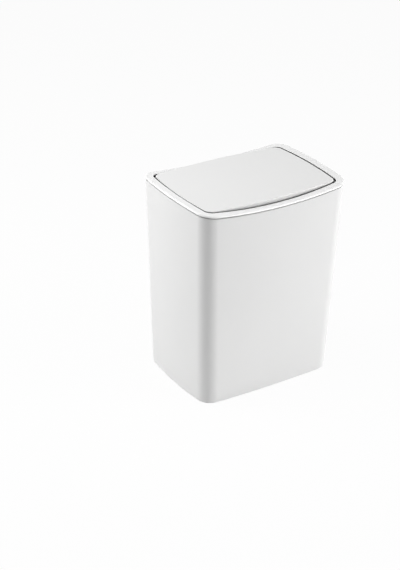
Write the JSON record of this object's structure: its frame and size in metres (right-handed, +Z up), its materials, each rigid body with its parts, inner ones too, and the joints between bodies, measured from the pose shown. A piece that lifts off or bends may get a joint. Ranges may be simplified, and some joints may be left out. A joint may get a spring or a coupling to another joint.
{
  "type": "countertop bin",
  "caption": "Small tapered countertop bin with rounded corners, a lift-off frame and a level push flap that swings on pins and returns by a counterweight.",
  "frame": {"origin": "centre of the base, on the surface that the bin stands on", "axes": "+X along the long side, +Y towards the back long side, +Z up; the flap swings about X"},
  "size_m": [0.175, 0.125, 0.213],
  "materials": {
    "bucket_plastic": "satin moulded polypropylene, white",
    "frame_plastic": "gloss moulded plastic, white",
    "flap_plastic": "satin moulded plastic, white",
    "inner_plastic": "plain moulded plastic, off-white",
    "bush_plastic": "natural acetal, waxy",
    "bar_steel": "zinc plated steel bar, dull",
    "pin_steel": "drawn stainless steel",
    "screw_steel": "zinc plated steel"
  },
  "bodies": {
    "bucket": {"bucket": "bucket_plastic"},
    "lid": {"lid_frame": "frame_plastic", "pivot_bush_left": "bush_plastic", "pivot_bush_right": "bush_plastic"},
    "flap": {"flap_cover": "flap_plastic", "flap_tray": "inner_plastic", "counterweight": "bar_steel", "weight_trough": "inner_plastic", "pivot_pin_left": "pin_steel", "pivot_pin_right": "pin_steel", "flap_screws": "screw_steel", "trough_screws": "screw_steel"}
  },
  "joints": [
    {"name": "lid_lift", "type": "slide", "parent": "bucket", "child": "lid", "axis": [0, 0, 1], "range_m": [0, 0.08]},
    {"name": "flap_swing", "type": "hinge", "parent": "lid", "child": "flap", "pos_m": [0, 0, 0.2027], "axis": [1, 0, 0], "range_deg": [-71, 71]}
  ]
}
